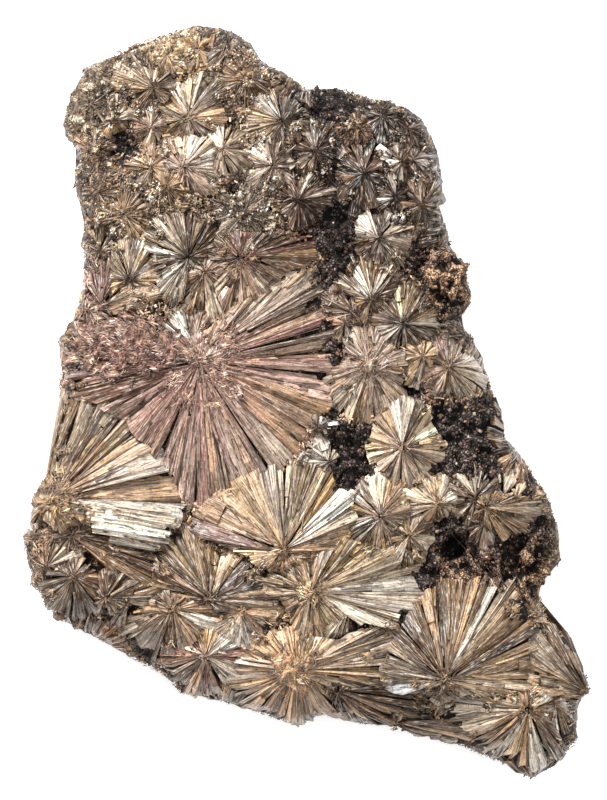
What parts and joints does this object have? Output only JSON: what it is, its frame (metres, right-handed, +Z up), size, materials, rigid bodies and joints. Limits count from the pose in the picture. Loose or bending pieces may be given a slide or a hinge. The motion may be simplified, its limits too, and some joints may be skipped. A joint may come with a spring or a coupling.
{
  "type": "pyrophyllite specimen",
  "caption": "Loose mineral specimen: a slab of dark porous rock with a flat back, its face grown over with radiating rosettes of flat pearly crystals.",
  "frame": {"origin": "middle of the bounding box in plan, on the flat back that the specimen lies on", "axes": "+X across the specimen, +Y along its length towards the narrow end, +Z up out of the crystal face"},
  "size_m": [0.1133, 0.1513, 0.0345],
  "materials": {
    "iron_stained_rock": "rough, granular and porous dark brown rock with rusty patches",
    "pearly_pyrophyllite": "pearly flat blades in cream, tan, olive and mauve-brown, finely lined along their length"
  },
  "bodies": {
    "root": {"matrix": "iron_stained_rock", "rosettes": "pearly_pyrophyllite"}
  },
  "joints": []
}
